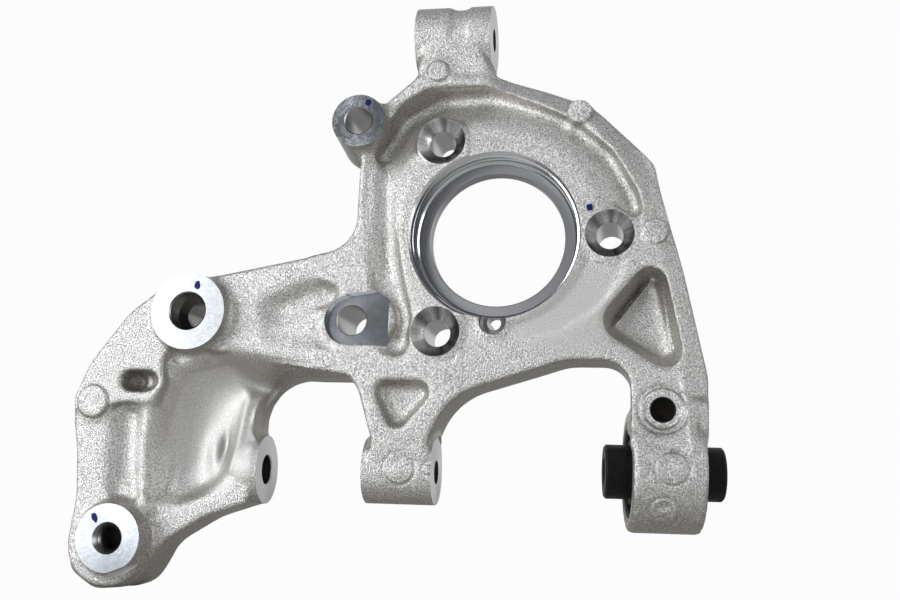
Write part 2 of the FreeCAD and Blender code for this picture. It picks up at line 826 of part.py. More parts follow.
# Flats cut for three ejector pins in the round faces of the middle boss and the eye.
flats = [
    ("middle_flat", "-46.9", "-122.9", "12.4", S + "link_level + " + S + "middle_diameter / 2 - 0.7"),
    ("eye_flat", "91.2", "-119.8", "14", S + "eye_level + " + S + "eye_diameter / 2 - 0.7"),
    ("eye_low_flat", "86.9", "-141", "12.6", S + "eye_level + " + S + "eye_diameter / 2 - 6.4"),
]
for flat, x, z, width, level in flats:
    drum(cuts, flat, x, z, width, S + "eye_level + " + S + "eye_diameter / 2 + 2", level)

# The lower boss is cut off along a chord below its face.
chord_corners = [
    (-207, -184.5, 0),
    (-184, -175.6, 0),
    (-178, -182, 0),
    (-204, -192, 0),
]
slab(cuts, "lower_boss_chord", chord_corners, S + "lower_boss_level - 7", S + "lower_boss_level + 1")

# The blind slot: a deep round end, a middle step and the shallow run beside it.
slot_half = size("slot_width") / 2
for step, run_left, fall in (("slot_run", 0, 0.35), ("slot_middle", 0, 0.7)):
    run_right = size("slot_right") - 4 * (step == "slot_middle")
    run_corners = [
        (size("slot_left"), size("slot_z") - slot_half, slot_half),
        (run_right, size("slot_z") - slot_half, slot_half),
        (run_right, size("slot_z") + slot_half, slot_half),
        (size("slot_left"), size("slot_z") + slot_half, slot_half),
    ]
    slab(cuts, step, run_corners, S + "plate_level - %s * " % fall + S + "slot_depth",
         S + "plate_level + 2")
drum(cuts, "slot_end", S + "slot_left + " + S + "slot_width / 2", S + "slot_z", S + "slot_width",
     S + "plate_level + 1", S + "plate_level - " + S + "slot_depth")

# Bores along X.
barrel(cuts, "ear_bore", S + "ear_x", S + "ear_z", S + "link_level", S + "link_bore_diameter",
       S + "ear_length + 2")
barrel(cuts, "middle_bore", S + "middle_x", S + "middle_z", S + "link_level", S + "link_bore_diameter",
       S + "middle_length + 2")
barrel(cuts, "pad_bore", S + "pad_x + 1 - (" + S + "pad_bore_depth + 1) / 2", S + "pad_z",
       S + "pad_level", S + "pad_bore", S + "pad_bore_depth + 1")
barrel(cuts, "eye_bore", S + "eye_x", S + "eye_z", S + "eye_level", S + "eye_bore", S + "eye_length + 12",
       size("eye_turn"))

# The neck runs out on the middle boss along a shallow ramp.
ramp = outline(cuts, "neck_ramp_outline", [
    (-size("rim_level"), size("middle_z") + 22, 0),
    (-size("rim_level") - 2, size("middle_z") + 22, 0),
    (-size("rim_level") - 2, size("middle_z") + 4, 0),
    (-size("link_level") - size("middle_diameter") / 2, size("middle_z") + 4, 0),
], S + "middle_x", "YZ_Plane")
ramp_cut = pad(cuts, "neck_ramp", ramp, S + "middle_length")
ramp_cut.SideType = "Symmetric"
doc.recompute()
combined(knuckle, "machined", cuts, "Cut")

# The bush: an outer sleeve pressed into the eye, a rubber ring with two voids, and an inner sleeve.
# Each piece is drawn about its own X axis and set in the eye by its placement.


def in_eye(name):
    "A body placed at the eye and turned with it."
    body = body_named(name)
    body.setExpression("Placement.Base.x", S + "eye_x")
    body.setExpression("Placement.Base.y", "-" + S + "eye_level")
    body.setExpression("Placement.Base.z", S + "eye_z")
    body.Placement.Rotation = FreeCAD.Rotation(FreeCAD.Vector(0, 0, 1), size("eye_turn"))
    return body


def tube(body, name, outer, inner, length):
    "A tube along X, centred on the origin."
    sketch = circles(body, name + "_ring", [("0", "0", outer), ("0", "0", inner)], "YZ_Plane", "0")
    feature = pad(body, name, sketch, length)
    feature.SideType = "Symmetric"
    doc.recompute()
    return feature


outer_sleeve = in_eye("bush_outer_sleeve")
tube(outer_sleeve, "outer_tube", S + "eye_bore", S + "eye_bore - 2 * " + S + "outer_sleeve_wall",
     S + "outer_sleeve_length")

rubber = in_eye("bush_rubber")
tube(rubber, "rubber_ring", S + "eye_bore - 2 * " + S + "outer_sleeve_wall",
     S + "inner_sleeve_diameter", S + "rubber_length")


def ring_point(radius, angle):
    "A point of the bush's section. The angle is measured from straight up."
    return FreeCAD.Vector(radius * math.sin(angle), radius * math.cos(angle), 0)


# Each void is a curved slot above or below the inner sleeve.
near = size("void_inner_radius")
far = size("void_outer_radius")
half_angle = math.radians(size("void_half_angle"))
for void, middle in (("void_upper", 0.0), ("void_lower", math.pi)):
    outer_arc = [ring_point(far, middle + turn) for turn in (-half_angle, 0, half_angle)]
    inner_arc = [ring_point(near, middle + turn) for turn in (half_angle, 0, -half_angle)]
    edges = [
        Part.Arc(*outer_arc),
        Part.LineSegment(outer_arc[2], inner_arc[0]),
        Part.Arc(*inner_arc),
        Part.LineSegment(inner_arc[2], outer_arc[0]),
    ]
    void_sketch = sketch_on(rubber, void + "_outline", "YZ_Plane")
    void_sketch.addGeometry(edges, False)
    slot = rubber.newObject("PartDesign::Pocket", void)
    slot.Profile = void_sketch
    slot.SideType = "Symmetric"
    slot.setExpression("Length", S + "rubber_length + 2")
    doc.recompute()

inner_sleeve = in_eye("bush_inner_sleeve")
tube(inner_sleeve, "inner_tube", S + "inner_sleeve_diameter", S + "inner_sleeve_bore",
     S + "inner_sleeve_length")
doc.recompute()

# Every object has to have computed, and every shape has to be one valid solid, before it is written.
for item in doc.Objects:
    if "Invalid" in item.State or "Error" in item.State:
        raise RuntimeError("%s did not compute" % item.Name)
os.makedirs("parts", exist_ok=True)
for part in (knuckle, outer_sleeve, rubber, inner_sleeve):
    shape = part.Shape
    if shape.isNull() or not shape.isValid() or len(shape.Solids) != 1:
        raise RuntimeError("%s is not one valid solid" % part.Label)
    shape.exportStep("parts/%s.step" % part.Label)
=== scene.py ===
import math

import bmesh
import bpy
import numpy as np
import openvdb
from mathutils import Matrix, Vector


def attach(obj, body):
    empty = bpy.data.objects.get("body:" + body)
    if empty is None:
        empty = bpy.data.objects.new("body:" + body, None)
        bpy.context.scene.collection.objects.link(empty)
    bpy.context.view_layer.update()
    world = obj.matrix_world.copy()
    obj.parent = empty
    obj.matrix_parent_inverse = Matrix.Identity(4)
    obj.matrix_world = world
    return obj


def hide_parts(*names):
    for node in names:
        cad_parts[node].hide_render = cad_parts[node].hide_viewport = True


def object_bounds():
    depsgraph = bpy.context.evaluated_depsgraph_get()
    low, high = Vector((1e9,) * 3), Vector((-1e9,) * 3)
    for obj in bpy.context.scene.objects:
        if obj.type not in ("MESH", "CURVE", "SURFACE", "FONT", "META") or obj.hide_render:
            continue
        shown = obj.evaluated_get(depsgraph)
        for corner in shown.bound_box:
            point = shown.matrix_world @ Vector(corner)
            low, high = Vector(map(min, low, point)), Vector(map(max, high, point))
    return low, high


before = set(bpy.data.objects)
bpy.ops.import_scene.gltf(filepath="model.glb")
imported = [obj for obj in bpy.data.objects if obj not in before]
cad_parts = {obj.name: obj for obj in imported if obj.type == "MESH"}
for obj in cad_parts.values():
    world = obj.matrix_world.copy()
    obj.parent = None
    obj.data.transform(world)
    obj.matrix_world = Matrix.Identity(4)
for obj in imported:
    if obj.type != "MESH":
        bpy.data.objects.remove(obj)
bpy.context.view_layer.update()
cad_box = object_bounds()

# Camera: a little below the part's middle and to its right, looking up at the inboard side with a slight
# roll. Its place is in metres and its turn in degrees.
CAMERA_PLACE = (0.07748, -0.59798, -0.13802)
CAMERA_TURN = (100.2512, -1.7896, 9.7972)
FOCAL_LENGTH = 44.2
camera_data = bpy.data.cameras.new("camera")
camera_data.sensor_width = 36
camera_data.lens = FOCAL_LENGTH
camera_data.clip_start = 0.01
camera_data.clip_end = 50
camera = bpy.data.objects.new("camera", camera_data)
bpy.context.scene.collection.objects.link(camera)
camera.location = CAMERA_PLACE
camera.rotation_euler = [math.radians(angle) for angle in CAMERA_TURN]
bpy.context.scene.camera = camera

# The knuckle: one casting of aluminium, shot-blasted, then bored and faced. It carries the hub, the caliper
# and the links. Its form is the CAD node's with soft cast fillets, worked out in a distance field. Holes and
# machined faces are filled up before that, and cut sharp again at the end.

# Lengths here are in mm. A place is (x, z). A level is how far something lies inboard of the mounting face,
# so y is minus the level.
HUB = (0, 0)
BOLT_CIRCLE = 60
BOLTS = [(BOLT_CIRCLE * math.cos(math.radians(turn)), BOLT_CIRCLE * math.sin(math.radians(turn)))
         for turn in (0, 120, 240)]
DRAIN = (0, -46.2)
SHOULDER = (-75, 62.6)
SPOT_FACE = (-76, -45.6)
UPPER_BOSS = (-164.2, -42.5)
LOWER_BOSS = (-199.4, -163.3)
SCREW = (86.7, -90.8)
PLATE_PIN = (-217.1, -91.3)
# Middles of the bores that run sideways: x, y, z.
EAR = (-26.2, -19, 116.4)
MIDDLE = (-48.7, -19, -124.0)
SIDE_PAD = (-124.5, -16, -125.0)
EYE = (87.0, -19, -121.3)
EYE_TURN = math.radians(7)
SHOULDER_LEVEL = 44
BOSS_LEVEL = 46
# The field's step, its spare steps round the part, the radii of inner and outer cast edges, and how far from
# the surface the field is right for the forms that are blended in later.
VOXEL = 0.7
MARGIN = 12
FILLET = 4.0
ROUND = 2.0
BLEND_REACH = 3.0

node_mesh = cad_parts["knuckle_casting"].data
node_mesh.calc_loop_triangles()
points = np.empty(len(node_mesh.vertices) * 3, np.float32)
node_mesh.vertices.foreach_get("co", points)
points = points.reshape(-1, 3) * 1000
triangles = np.empty(len(node_mesh.loop_triangles) * 3, np.int32)
node_mesh.loop_triangles.foreach_get("vertices", triangles)
triangles = triangles.reshape(-1, 3).astype(np.uint32)
scale = openvdb.createLinearTransform(voxelSize=VOXEL)
first = np.floor(points.min(0) / VOXEL).astype(int) - MARGIN
last = np.ceil(points.max(0) / VOXEL).astype(int) + MARGIN
shape = tuple(last - first + 1)
along = [(np.arange(n) + f).astype(np.float32) * VOXEL for n, f in zip(shape, first)]


def field_of(points, triangles, quads, reach):
    "A dense distance field of a closed mesh, correct up to the reach."
    grid = openvdb.FloatGrid.createLevelSetFromPolygons(
        points, triangles=triangles, quads=quads, transform=scale, halfWidth=reach / VOXEL + 2)
    field = np.empty(shape, np.float32)
    grid.copyToArray(field, ijk=tuple(int(v) for v in first))
    return field


def mesh_of(field):
    "The surface of a dense field: points, triangles and quads."
    grid = openvdb.FloatGrid(float(field.max()))
    grid.copyFromArray(field, ijk=tuple(int(v) for v in first))
    grid.transform = scale
    return grid.convertToPolygons(isovalue=0.0)


def moved(surface, distance):
    "A surface moved outwards or inwards by a distance."
    surface_points, surface_triangles, surface_quads = surface
    grid = openvdb.FloatGrid.createLevelSetFromPolygons(
        surface_points, triangles=surface_triangles, quads=surface_quads, transform=scale,
        halfWidth=abs(distance) / VOXEL + 2)
    return grid.convertToPolygons(isovalue=distance)


def part_of(low, high):
    "The slices of the field inside a box, and the coordinates there."
    cut = []
    for axis in range(3):
        a = int(np.searchsorted(along[axis], low[axis]))
        b = int(np.searchsorted(along[axis], high[axis]))
        cut.append(slice(max(a - 1, 0), b + 1))
    x = along[0][cut[0]][:, None, None]
    y = along[1][cut[1]][None, :, None]
    z = along[2][cut[2]][None, None, :]
    return tuple(cut), x, y, z


def around(place, reach, low, high):
    "The part of the field round a place, between two levels."
    return part_of((place[0] - reach, -high, place[1] - reach), (place[0] + reach, -low, place[1] + reach))


def upright_rod(x, y, z, place, radius, low, high):
    "Distance to a cylinder that stands on the mounting face's plane, between two levels."
    out = np.hypot(x - place[0], z - place[1]) - radius
    return np.maximum(out, np.abs(y + (low + high) / 2) - abs(high - low) / 2)


def sideways_rod(x, y, z, middle, radius, length, turn):
    "Distance to a cylinder through a point, along X or turned from it about Z."
    c, s = math.cos(turn), math.sin(turn)
    run = (x - middle[0]) * c + (y - middle[1]) * s
    side = (y - middle[1]) * c - (x - middle[0]) * s
    return np.maximum(np.hypot(side, z - middle[2]) - radius, np.abs(run) - length / 2)


field = field_of(points, triangles, None, FILLET)

# Stock in the holes and on the faces that look inboard: place, radius, and the levels from and to.
inboard_stock = [
    (HUB, 46.6, 0, 39),
    (BOLTS[0], 13.9, 0, 39),
    (BOLTS[1], 13.9, 0, 39),
    (BOLTS[2], 13.9, 0, 39),
    ((0, -46.5), 7.4, 3, 39),
    (SPOT_FACE, 14.4, -6, 38.5),
    ((-66, -45.6), 14.2, 10, 38.5),
    (SHOULDER, 14.7, 3, 47),
    (UPPER_BOSS, 20.8, 3, 49),
    (LOWER_BOSS, 17.8, 3, 49),
    (SCREW, 11.0, 10, 39.5),
]
for place, radius, low, high in inboard_stock:
    box, x, y, z = around(place, radius + 3, low - 3, high + 3)
    field[box] = np.minimum(field[box], upright_rod(x, y, z, place, radius, low, high))

# Stock in the bores that run sideways and on their end faces: middle, shift along X, radius, length, turn.
sideways_stock = [
    (EAR, 0, 8.0, 42.0, 0.0),
    (EAR, -13.2, 18.8, 21.6, 0.0),
    (EAR, 16.2, 18.8, 15.6, 0.0),
    (MIDDLE, 0, 17.2, 42.8, 0.0),
    (SIDE_PAD, -9.5, 9.0, 22.0, 0.0),
    (SIDE_PAD, 0, 18.2, 6.0, 0.0),
    (EYE, 0, 26.5, 36.4, EYE_TURN),
]
for place, shift, radius, length, turn in sideways_stock:
    middle = (place[0] + shift, place[1], place[2])
    half = length / 2 + 6
    box, x, y, z = part_of((middle[0] - half, middle[1] - radius - 3, middle[2] - radius - 3),
                           (middle[0] + half, middle[1] + radius + 3, middle[2] + radius + 3))
    field[box] = np.minimum(field[box], sideways_rod(x, y, z, middle, radius, length, turn))

# Cast edges: growing and shrinking fills the inner corners, and shrinking further and growing back rounds
# the outer ones.
surface = mesh_of(field)
surface = moved(surface, FILLET)
surface = moved(surface, -FILLET - ROUND)
surface = moved(surface, ROUND)
field = field_of(*surface, BLEND_REACH)


def eased(low, high, value):
    "Rises smoothly from 0 at the low value to 1 at the high one, or falls where they are swapped."
    share = np.clip((value - low) / (high - low), 0, 1)
    return share * share * (3 - 2 * share)


def beside_run(x, z, start, end):
    "Distance from a straight run, positive to the left of it and negative to the right."
    run_x, run_z = end[0] - start[0], end[1] - start[1]
    from_x, from_z = x - start[0], z - start[1]
    share = np.clip((from_x * run_x + from_z * run_z) / (run_x ** 2 + run_z ** 2), 0, 1)
    away = np.hypot(from_x - share * run_x, from_z - share * run_z)
    return np.where(run_x * from_z - run_z * from_x > 0, away, -away)


def beside(x, z, corners):
    "Distance from an open line through corners, positive to the left of it and negative to the right."
    nearest = beside_run(x, z, corners[0], corners[1])
    for start, end in zip(corners[1:], corners[2:]):
        signed = beside_run(x, z, start, end)
        nearest = np.where(np.abs(signed) < np.abs(nearest), signed, nearest)
    return nearest


def inside_of(corners, edge):
    "A mask over x and z: 1 inside a closed outline, falling to 0 at its edge."
    nearest = np.full(plan_x.shape, 1e6)
    turns = np.zeros(plan_x.shape)
    for start, end in zip(corners, corners[1:] + corners[:1]):
        nearest = np.minimum(nearest, np.abs(beside_run(plan_x, plan_z, start, end)))
        run_x, run_z = end[0] - start[0], end[1] - start[1]
        crosses = (plan_z >= start[1]) != (plan_z >= end[1])
        turns += crosses & (plan_x < start[0] + (plan_z - start[1]) * run_x / (run_z if run_z else 1e-6))
    return eased(0, edge, np.where(turns % 2 == 1, nearest, 0))


def softened(values, sigma):
    "A picture blurred by a distance in mm."
    reach = int(3 * sigma / VOXEL)
    weights = np.exp(-0.5 * (np.arange(-reach, reach + 1) * VOXEL / sigma) ** 2)
    weights /= weights.sum()
    for axis in (0, 1):
        padded = np.pad(values, [(reach, reach) if a == axis else (0, 0) for a in (0, 1)], mode="edge")
        size = values.shape[axis]
        values = sum(w * np.take(padded, np.arange(k, k + size), axis=axis) for k, w in enumerate(weights))
    return values


def soft_level(sigma):
    "How much of each spot's surroundings is metal, and their blurred level."
    share = softened(filled.astype(float), sigma)
    return share, softened(np.where(filled, height, 0), sigma) / np.maximum(share, 1e-3)


def spot(place, length, width, lean=0.0):
    "A soft oval, with its long side leaning from upright by an angle in degrees."
    c, s = math.cos(math.radians(lean)), math.sin(math.radians(lean))
    u = (plan_x - place[0]) * c - (plan_z - place[1]) * s
    v = (plan_x - place[0]) * s + (plan_z - place[1]) * c
    return np.exp(-(u / width) ** 2 - (v / length) ** 2)


# Hollows of the arm and the beam run softly into one another. The inboard surface is read from the field as
# a level over x and z, blurred inside a few outlines, and put back. Below the back level nothing is read.
BACK_LEVEL = 9
FINE_BLUR = 3.0
BROAD_BLUR = 6.0
plan_x, plan_z = np.meshgrid(along[0], along[2], indexing="ij")
solid = field < 0
front = np.argmax(solid, axis=1)
filled = solid.any(axis=1)
below = np.take_along_axis(field, front[:, None, :], 1)[:, 0, :]
above = np.take_along_axis(field, np.maximum(front - 1, 0)[:, None, :], 1)[:, 0, :]
height = -(along[1][front] - VOXEL * below / np.minimum(below - above, -1e-3))
filled &= height > BACK_LEVEL
share, soft_height = soft_level(FINE_BLUR)
broad_height = soft_level(BROAD_BLUR)[1]
deep_outline = [(-178, -66), (-146, -62), (-130, -80), (-108, -84), (-110, -102), (-120, -108), (-124, -138),
                (-150, -146), (-178, -152), (-182, -110)]
panel_outline = [(-228, -92), (-180, -90), (-178, -66), (-140, -60), (-92, -72), (-92, -100), (-118, -108),
                 (-134, -146), (-180, -158), (-222, -142)]
beam_outline = [(-140, -22), (-92, -14), (-92, -74), (-146, -70), (-146, -50)]
flank_outline = [(-73, 42), (-52, 50), (-44, 36), (-49, 0), (-46, -28), (-60, -31), (-72, -14), (-74, 20)]
pocket_outline = [(58, -48), (80, -20), (88, -22), (92, -50), (96, -72), (84, -74), (60, -62)]
deep = inside_of(deep_outline, 9)
panel = inside_of(panel_outline, 4)
beam = inside_of(beam_outline, 5)
flank = inside_of(flank_outline, 4)
pocket = inside_of(pocket_outline, 3)
# The rounds keep their own shape: place, radius, and how wide the blur fades in round it.
unblurred = [
    (UPPER_BOSS, 24.5, 5),
    (LOWER_BOSS, 24.5, 5),
    (PLATE_PIN, 11, 5),
    (SPOT_FACE, 18, 5),
    ((-121, -125), 3, 16),
    (SHOULDER, 16, 4),
    (BOLTS[1], 14.5, 4),
    (BOLTS[2], 14.5, 4),
    (HUB, 48, 4),
]
for place, radius, edge in unblurred:
    away = eased(radius, radius + edge, np.hypot(plan_x - place[0], plan_z - place[1]))
    panel *= away
    beam *= away
    flank *= away
soft_height += deep * (broad_height - soft_height)
smooth = np.maximum(np.maximum(panel, beam), np.maximum(0.8 * flank, 0.35 * pocket))
smooth *= eased(0.72, 0.97, share)
new_height = height + smooth * (soft_height - height)
# The arm's hollow and the triangular pocket come up a little, by a share of their depth below a level.
HOLLOW_RAISED = 0.33
HOLLOW_BRIM = 28
POCKET_RAISED = 0.22
POCKET_BRIM = 37
new_height += HOLLOW_RAISED * deep * smooth * np.maximum(HOLLOW_BRIM - new_height, 0)
new_height += POCKET_RAISED * eased(0, 1, pocket) * np.maximum(POCKET_BRIM - new_height, 0)
smooth = np.maximum(smooth, eased(0, 0.6, pocket))
# In the arm's hollow: a crest beside the arch, a swell, two dents, and a shallow trench along the outer bar.
crest_line = [(-134, -84), (-135.7, -92.4), (-136.6, -104.3), (-137.6, -115.1), (-139.1, -125.8)]
crest = np.exp(-(beside(plan_x, plan_z, crest_line) / 3.0) ** 2)
crest *= eased(-80, -90, plan_z) * eased(-134, -124, plan_z)
trench = np.exp(-((plan_x + 198 + 0.05 * (plan_z + 90)) / 6) ** 2)
trench *= eased(-91, -97, plan_z) * eased(-156, -140, plan_z)
new_height -= 1.4 * panel * smooth * trench
new_height += panel * smooth * (
    1.8 * crest + 2.6 * spot((-153, -117), 9, 5)
    - 3.4 * spot((-146.8, -114), 9, 3.0, 3) - 2.6 * spot((-158, -134), 12, 4.5, 62))
step_x, step_z = np.gradient(new_height, VOXEL)
slope = 1 / np.sqrt(1 + step_x ** 2 + step_z ** 2)
smooth *= filled & (new_height > BACK_LEVEL + 3)
upper = along[1] < -10
from_surface = (-along[1][None, upper, None] - new_height[:, None, :]) * slope[:, None, :]
field[:, upper, :] += smooth[:, None, :] * (np.clip(from_surface, -4, 4) - field[:, upper, :])


def joined(box, form, blend):
    "Adds a form with a soft join."
    gap = np.maximum(blend - np.abs(field[box] - form), 0)
    field[box] = np.minimum(field[box], form) - gap * gap / (4 * blend)


def kept(box, form, blend):
    "Keeps only what lies in a form, with a soft edge."
    gap = np.maximum(blend - np.abs(field[box] - form), 0)
    field[box] = np.maximum(field[box], form) + gap * gap / (4 * blend)


# The rim's outer side slopes away from a ridge, from the ear round to the arm, and stands out a little above
# the hub. Down the arm the slope lifts clear, and the ridge goes on as a low rounded line.
RIDGE_LEVEL = 38.2
RIDGE_SLOPE = 0.62
RIDGE_FALL = 7
ridge = [(-12, 80), (1.3, 75.7), (22.9, 70.5), (37.8, 62.8), (50.5, 59.1), (65.2, 39), (74.4, 22.7), (78, 4),
         (85.5, -9.3), (89.5, -24.9), (93.8, -50.5), (96.6, -70.7), (99, -85.6), (101.7, -111.6)]
box, x, y, z = part_of((-14, -46, -118), (114, -8, 100))
outside = beside(x, z, ridge)
field[box] -= 1.8 * eased(3, 7, outside) * eased(20, 55, z) * eased(-14, 6, x) * eased(-12, -24, y)
fall = np.minimum(RIDGE_SLOPE * np.maximum(outside, 0), RIDGE_FALL) * eased(-12, 8, x) * eased(-94, -82, z)
lift = 8 * eased(-82, -94, z)
kept(box, (-y - RIDGE_LEVEL - lift + fall) * 0.85, 1.2)
line = np.exp(-((outside + 0.8) / 1.3) ** 2)
field[box] -= 0.9 * line * eased(-70, -80, z) * eased(-116, -104, z) * eased(-28, -36, y)

# The round pad of the screw hole, with a groove round it.
SCREW_PAD_LEVEL = 39.6
SCREW_PAD_RADIUS = 10.4
SCREW_PAD_GROOVE = 12.0
box, x, y, z = around(SCREW, 16, 28, 48)
away = np.hypot(x - SCREW[0], z - SCREW[1])
field[box] += 0.9 * np.exp(-((away - SCREW_PAD_GROOVE) / 1.1) ** 2)
joined(box, upright_rod(x, y, z, SCREW, SCREW_PAD_RADIUS, 30, SCREW_PAD_LEVEL), 0.6)
kept(box, -y - SCREW_PAD_LEVEL - 12 * eased(9, 11.5, away), 0.4)

# Ejector pins left two drafted pillars in the rim.
PILLAR_RADIUS = 6.3
PILLAR_LEVEL = 38.8
PILLAR_FOOT = 19
PILLAR_DRAFT = 0.05
for place in ((44, 66.3), (83.1, 0.7)):
    box, x, y, z = around(place, 10, 15, 44)
    radius = PILLAR_RADIUS + PILLAR_DRAFT * (y + PILLAR_LEVEL)
    joined(box, upright_rod(x, y, z, place, radius, PILLAR_FOOT, PILLAR_LEVEL), 1.0)

# They also left flat rounds on the ear, the plate, the middle boss and the eye, each with a ring in it and a
# groove round it: place, radius, the ring's radius, how far it stands up, and the levels from and to.
pin_marks = [
    ((-33.2, 91.7), 5.8, 2.4, 0.7, 28, 48),
    (PLATE_PIN, 8.6, 3.6, 0.7, 28, 48),
    ((-46.9, -122.9), 7.6, 6.0, 0.6, 26, 44),
    ((-31.5, -123), 2.4, 1.0, 0.5, 26, 44),
    ((91.2, -119.8), 7.6, 6.0, 0.7, 34, 60),
    ((86.9, -141), 6.3, 2.6, 0.6, 28, 60),
    ((77.2, -121.6), 2.2, 1.0, 0.4, 34, 60),
]
for place, radius, ring, rise, low, high in pin_marks:
    box, x, y, z = around(place, 12, low, high)
    away = np.hypot(x - place[0], z - place[1])
    groove = np.exp(-((away - radius - 0.9) / 0.8) ** 2) + 0.5 * np.exp(-((away - ring) / 0.6) ** 2)
    field[box] += 0.45 * groove - rise * eased(radius + 0.5, radius - 0.5, away)

# Surface of the casting, thinned to a share of its faces where it is flat.
THINNED_TO = 0.2
cast_points, cast_triangles, cast_quads = mesh_of(field)
cast_faces = [q.tolist() for q in cast_quads] + [q.tolist() for q in cast_triangles]
dense = bpy.data.meshes.new("knuckle_dense")
dense.from_pydata((cast_points / 1000).tolist(), [], cast_faces)
knuckle = bpy.data.objects.new("knuckle", dense)
bpy.context.scene.collection.objects.link(knuckle)
thin = knuckle.modifiers.new("thin", "DECIMATE")
thin.ratio = THINNED_TO
bpy.context.view_layer.update()
graph = bpy.context.evaluated_depsgraph_get()
knuckle.data = bpy.data.meshes.new_from_object(knuckle.evaluated_get(graph))
knuckle.modifiers.clear()


def finish(name, **sockets):
    "A new material with its shader's sockets set."
    material = bpy.data.materials.new(name)
    material.use_nodes = True
    shader = material.node_tree.nodes["Principled BSDF"]
    for socket, value in sockets.items():
        shader.inputs[socket.replace("_", " ")].default_value = value
    return material


def insides(material):
    "A material's nodes, its links and its shader."
    tree = material.node_tree
    return tree.nodes, tree.links, tree.nodes["Principled BSDF"]


def added(nodes, kind, **values):
    "A new node: names in small letters are its settings, and names with a capital are its sockets."
    node = nodes.new("ShaderNode" + kind)
    for name, value in values.items():
        if name[0].islower():
            setattr(node, name, value)
        else:
            node.inputs[name.replace("_", " ")].default_value = value
    return node


# Cast aluminium: shot-blasted grain on what faces inboard, smoother on steep walls, which also get painted
# shade.
cast = finish("cast_aluminium", Metallic=0.85)
nodes, links, shader = insides(cast)
geometry = added(nodes, "NewGeometry")
split = added(nodes, "SeparateXYZ")
links.new(geometry.outputs["Normal"], split.inputs[0])
facing = added(nodes, "MapRange", From_Min=-0.55, From_Max=-0.93)
links.new(split.outputs["Y"], facing.inputs["Value"])
fine = added(nodes, "TexNoise", Scale=1250, Detail=1.5, Roughness=0.7)
links.new(geometry.outputs["Position"], fine.inputs["Vector"])
coarse = added(nodes, "TexNoise", Scale=60, Detail=4.0)
links.new(geometry.outputs["Position"], coarse.inputs["Vector"])
# Walls that do not face inboard get a darker, warmer colour: partly their unblasted skin, partly painted
# shade and painted warm bounce from the floor.
wall_tone_and_shade = added(nodes, "Mix", data_type="RGBA", A=(0.46, 0.445, 0.415, 1), B=(0.68, 0.68, 0.675, 1))
links.new(facing.outputs["Result"], wall_tone_and_shade.inputs["Factor"])
speck = added(nodes, "MapRange", From_Min=0.35, From_Max=0.68, To_Min=0.55, To_Max=1.5)
links.new(fine.outputs["Fac"], speck.inputs["Value"])
grain = added(nodes, "Mix", data_type="RGBA", blend_type="MULTIPLY")
links.new(wall_tone_and_shade.outputs["Result"], grain.inputs["A"])
links.new(speck.outputs["Result"], grain.inputs["B"])
links.new(grain.outputs["Result"], shader.inputs["Base Color"])
# The arm's panel and the band below the bore are smoother than the rest. In metres: each patch's middle and
# half sizes, and the shares of those between which it fades out.
smooth_patches = [
    ((-0.150, 0, -0.100), (0.036, 9, 0.040), 0.75, 1.1),
    ((0.040, 0, -0.042), (0.034, 9, 0.026), 0.6, 1.1),
]
patches = []
for middle, reach, low, high in smooth_patches:
    offset = added(nodes, "VectorMath", operation="SUBTRACT")
    offset.inputs[1].default_value = middle
    links.new(geometry.outputs["Position"], offset.inputs[0])
    scaled = added(nodes, "VectorMath", operation="DIVIDE")
    scaled.inputs[1].default_value = reach
    links.new(offset.outputs["Vector"], scaled.inputs[0])
    away = added(nodes, "VectorMath", operation="LENGTH")
    links.new(scaled.outputs["Vector"], away.inputs[0])
    patch = added(nodes, "MapRange", From_Min=low, From_Max=high, To_Min=0.3)
    links.new(away.outputs["Value"], patch.inputs["Value"])
    patches.append(patch)
rough_share = added(nodes, "Math", operation="MULTIPLY")
links.new(patches[0].outputs["Result"], rough_share.inputs[0])
links.new(patches[1].outputs["Result"], rough_share.inputs[1])
links.new(rough_share.outputs["Value"], grain.inputs["Factor"])
rough = added(nodes, "MapRange", To_Min=0.42, To_Max=0.46)
links.new(facing.outputs["Result"], rough.inputs["Value"])
matt = added(nodes, "MapRange", From_Min=1.0, From_Max=0.3, To_Max=0.16)
links.new(rough_share.outputs["Value"], matt.inputs["Value"])
dulled = added(nodes, "Math", operation="ADD")
links.new(rough.outputs["Result"], dulled.inputs[0])
links.new(matt.outputs["Result"], dulled.inputs[1])
links.new(dulled.outputs["Value"], shader.inputs["Roughness"])
bump_facing = added(nodes, "MapRange", To_Min=0.25, To_Max=1.0)
links.new(facing.outputs["Result"], bump_facing.inputs["Value"])
bump_share = added(nodes, "Math", operation="MULTIPLY")
links.new(bump_facing.outputs["Result"], bump_share.inputs[0])
links.new(rough_share.outputs["Value"], bump_share.inputs[1])
bump_height = added(nodes, "Math", operation="MULTIPLY")
links.new(fine.outputs["Fac"], bump_height.inputs[0])
links.new(bump_share.outputs["Value"], bump_height.inputs[1])
bump = added(nodes, "Bump", Strength=1.0, Distance=0.0006)
links.new(bump_height.outputs["Value"], bump.inputs["Height"])
wave_bump = added(nodes, "Bump", Strength=0.25, Distance=0.0008)
links.new(coarse.outputs["Fac"], wave_bump.inputs["Height"])
links.new(bump.outputs["Normal"], wave_bump.inputs["Normal"])
links.new(wave_bump.outputs["Normal"], shader.inputs["Normal"])


